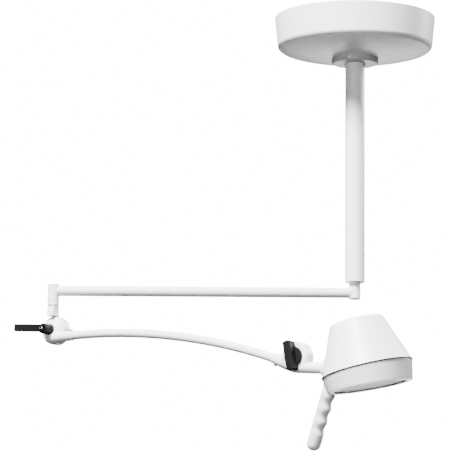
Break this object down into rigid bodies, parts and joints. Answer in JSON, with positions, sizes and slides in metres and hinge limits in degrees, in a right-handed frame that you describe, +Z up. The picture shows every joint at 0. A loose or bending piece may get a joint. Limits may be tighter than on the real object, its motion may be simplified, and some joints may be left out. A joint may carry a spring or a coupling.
{
  "type": "dental operating light",
  "caption": "Ceiling-mounted dental operating light: round canopy, drop tube, swivelling upper arm, curved lifting arm and a conical lamp head with a grip handle.",
  "frame": {"origin": "middle of the ceiling plate's upper face, on the drop tube's axis", "axes": "+Z up towards the ceiling, -X along the upper arm from the drop tube to the elbow, -Y towards the patient side where the lamp head hangs"},
  "size_m": [1.0843, 0.9055, 1.1855],
  "materials": {
    "white_paint": "satin powder coat",
    "white_plastic": "moulded, light gloss",
    "grey_paint": "satin",
    "grey_plastic": "matt",
    "black_plastic": "fine texture",
    "navy_trim": "satin",
    "chrome_plate": "polished",
    "steel": "zinc plated",
    "zinc_plate": "galvanised sheet",
    "bush_plastic": "natural",
    "friction_lining": "sintered lining",
    "brass_insert": "machined",
    "clear_lens": "clear, polished",
    "seal_rubber": "matt",
    "black_steel": "black oxide",
    "bright_reflector": "vapour coated",
    "led_white": "phosphor dome",
    "board": "white solder mask",
    "bare_aluminium": "extruded"
  },
  "bodies": {
    "ceiling_base": {"ceiling_plate": "zinc_plate", "drop_tube": "white_paint", "flange_screws": "steel", "power_supply": "zinc_plate", "terminal_block": "grey_plastic", "earth_stud": "steel", "canopy": "white_paint", "canopy_collar": "grey_paint", "collar_set_screws": "steel", "bearing_sleeve": "steel", "swivel_bush_lower": "bush_plastic", "swivel_bush_upper": "bush_plastic", "sleeve_screws": "steel"},
    "upper_arm": {"swivel_arm": "white_paint", "swivel_thrust_washer": "steel", "swivel_retaining_ring": "steel", "swivel_stop_pin": "steel", "post_end_cap": "grey_plastic", "elbow_top_cap": "grey_plastic", "elbow_bush_lower": "bush_plastic", "elbow_bush_upper": "bush_plastic"},
    "elbow": {"elbow_knuckle": "white_paint", "elbow_spindle": "steel", "elbow_retaining_ring": "steel", "lift_axle_bolt": "steel", "lift_friction_disc": "friction_lining", "lift_disc_springs": "steel"},
    "lower_arm": {"lift_hub": "white_paint", "curved_arm": "white_paint", "head_end_knuckle": "white_paint", "arm_socket_screws": "steel", "lift_stop_screw": "steel", "tilt_axle_bolt": "steel", "tilt_friction_disc": "friction_lining"},
    "tension_lever": {"tension_lever_boss": "black_plastic", "tension_lever_bar": "black_plastic", "tension_lever_screw": "chrome_plate"},
    "lamp_yoke": {"tilt_hub": "white_paint", "roll_pivot_tube": "steel", "roll_pivot_nut": "steel"},
    "tilt_knob": {"wing_knob": "black_plastic", "wing_knob_insert": "brass_insert"},
    "lamp_head": {"rear_housing": "white_paint", "roll_bushes": "bush_plastic", "trim_ring": "navy_trim", "front_bezel": "white_plastic", "lens_gasket": "seal_rubber", "lens": "clear_lens", "lens_retainer": "steel", "bezel_screws": "black_steel", "reflector": "bright_reflector", "led_emitters": "led_white", "led_board": "board", "heat_sink": "bare_aluminium", "led_driver": "board", "handle": "white_plastic", "handle_screws": "steel", "switch_body": "black_plastic"},
    "push_button": {"power_button": "black_plastic"}
  },
  "joints": [
    {"name": "arm_swivel", "type": "hinge", "parent": "ceiling_base", "child": "upper_arm", "pos_m": [0, 0, -0.65], "axis": [0, 0, 1], "range_deg": [-160, 160]},
    {"name": "elbow_swivel", "type": "hinge", "parent": "upper_arm", "child": "elbow", "pos_m": [-0.775, 0, -0.77], "axis": [0, 0, 1], "range_deg": [-110, 145]},
    {"name": "arm_lift", "type": "hinge", "parent": "elbow", "child": "lower_arm", "pos_m": [-0.77059, 0.00607, -0.8266], "axis": [-0.5878, -0.809, 0], "range_deg": [-40, 35]},
    {"name": "lever_turn", "type": "hinge", "parent": "elbow", "child": "tension_lever", "pos_m": [-0.77059, 0.00607, -0.8266], "axis": [-0.5878, -0.809, 0], "range_deg": [-60, 90]},
    {"name": "head_tilt", "type": "hinge", "parent": "lower_arm", "child": "lamp_yoke", "pos_m": [-0.14817, -0.45233, -0.95679], "axis": [-0.5878, -0.809, 0], "range_deg": [-34, 60]},
    {"name": "knob_turn", "type": "hinge", "parent": "lower_arm", "child": "tilt_knob", "pos_m": [-0.14817, -0.45233, -0.95679], "axis": [-0.5878, -0.809, 0], "range_deg": [-180, 180]},
    {"name": "head_roll", "type": "hinge", "parent": "lamp_yoke", "child": "lamp_head", "pos_m": [0.00846, -0.58429, -1.00555], "axis": [0.803, -0.5834, -0.1219], "range_deg": [-90, 90]},
    {"name": "button_press", "type": "slide", "parent": "lamp_head", "child": "push_button", "axis": [-0.4761, -0.7429, -0.4706], "range_m": [0, 0.002], "stiffness_N_per_m": 500, "springref_m": -0.001}
  ]
}
